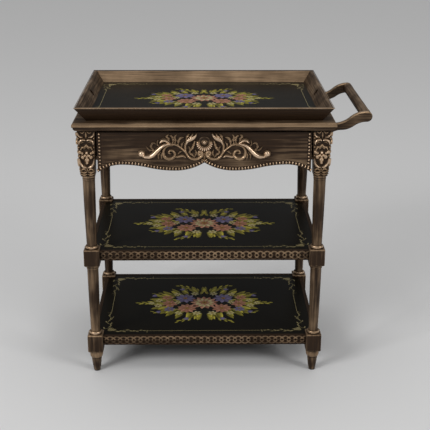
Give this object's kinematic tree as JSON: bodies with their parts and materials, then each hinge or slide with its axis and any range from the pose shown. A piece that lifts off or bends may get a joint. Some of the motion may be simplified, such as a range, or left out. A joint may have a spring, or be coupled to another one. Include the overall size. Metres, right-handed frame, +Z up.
{
  "type": "tea trolley",
  "caption": "Carved and gilded wooden tea trolley with turned legs, lacquered shelves, a frieze drawer, a lift-off tray and a push handle at one end.",
  "frame": {"origin": "on the floor, under the centre of the whole trolley with its handle", "axes": "+X along the length towards the push handle, -Y out of the drawer front, +Z up"},
  "size_m": [0.813, 0.512, 0.8],
  "materials": {
    "gilded_wood": "dark stained wood, dry-brushed with antique gold",
    "gilded_carving": "carved wood with rubbed antique gold on the high places",
    "black_lacquer": "black lacquer, satin gloss, with painted flowers",
    "plain_wood": "plain planed wood",
    "steel": "plain steel screws",
    "glide": "dark glide"
  },
  "bodies": {
    "carcass": {"apron_back": "gilded_wood", "apron_beading_back": "gilded_carving", "apron_beading_left": "gilded_carving", "apron_beading_right": "gilded_carving", "apron_left": "gilded_wood", "apron_right": "gilded_wood", "drawer_bottom_rail": "plain_wood", "drawer_guide_left": "plain_wood", "drawer_guide_right": "plain_wood", "drawer_kicker_left": "plain_wood", "drawer_kicker_right": "plain_wood", "drawer_runner_left": "plain_wood", "drawer_runner_right": "plain_wood", "drawer_stops": "plain_wood", "drawer_top_rail": "plain_wood", "foot_glides": "glide", "glue_blocks": "plain_wood", "handle_arm_back": "gilded_wood", "handle_arm_front": "gilded_wood", "handle_bar": "gilded_wood", "handle_screws": "steel", "leg_back_left": "gilded_wood", "leg_back_right": "gilded_wood", "leg_front_left": "gilded_wood", "leg_front_right": "gilded_wood", "shelf_lower_panel": "black_lacquer", "shelf_lower_rail_back": "gilded_wood", "shelf_lower_rail_front": "gilded_wood", "shelf_lower_rail_left": "gilded_wood", "shelf_lower_rail_right": "gilded_wood", "shelf_middle_panel": "black_lacquer", "shelf_middle_rail_back": "gilded_wood", "shelf_middle_rail_front": "gilded_wood", "shelf_middle_rail_left": "gilded_wood", "shelf_middle_rail_right": "gilded_wood", "table_top": "gilded_wood", "top_moulding_back": "gilded_wood", "top_moulding_front": "gilded_wood", "top_moulding_left": "gilded_wood", "top_moulding_right": "gilded_wood", "top_screws": "steel"},
    "drawer": {"drawer_back": "plain_wood", "drawer_beading": "gilded_carving", "drawer_bottom": "plain_wood", "drawer_carving": "gilded_carving", "drawer_front": "gilded_wood", "drawer_side_left": "plain_wood", "drawer_side_right": "plain_wood"},
    "tray": {"tray_floor": "black_lacquer", "tray_side_back": "gilded_wood", "tray_side_front": "gilded_wood", "tray_side_left": "gilded_wood", "tray_side_right": "gilded_wood"}
  },
  "joints": [
    {"name": "drawer_slide", "type": "slide", "parent": "carcass", "child": "drawer", "axis": [0, -1, 0], "range_m": [0, 0.26]},
    {"name": "tray_lift", "type": "slide", "parent": "carcass", "child": "tray", "axis": [0, 0, 1], "range_m": [0, 0.2]}
  ]
}
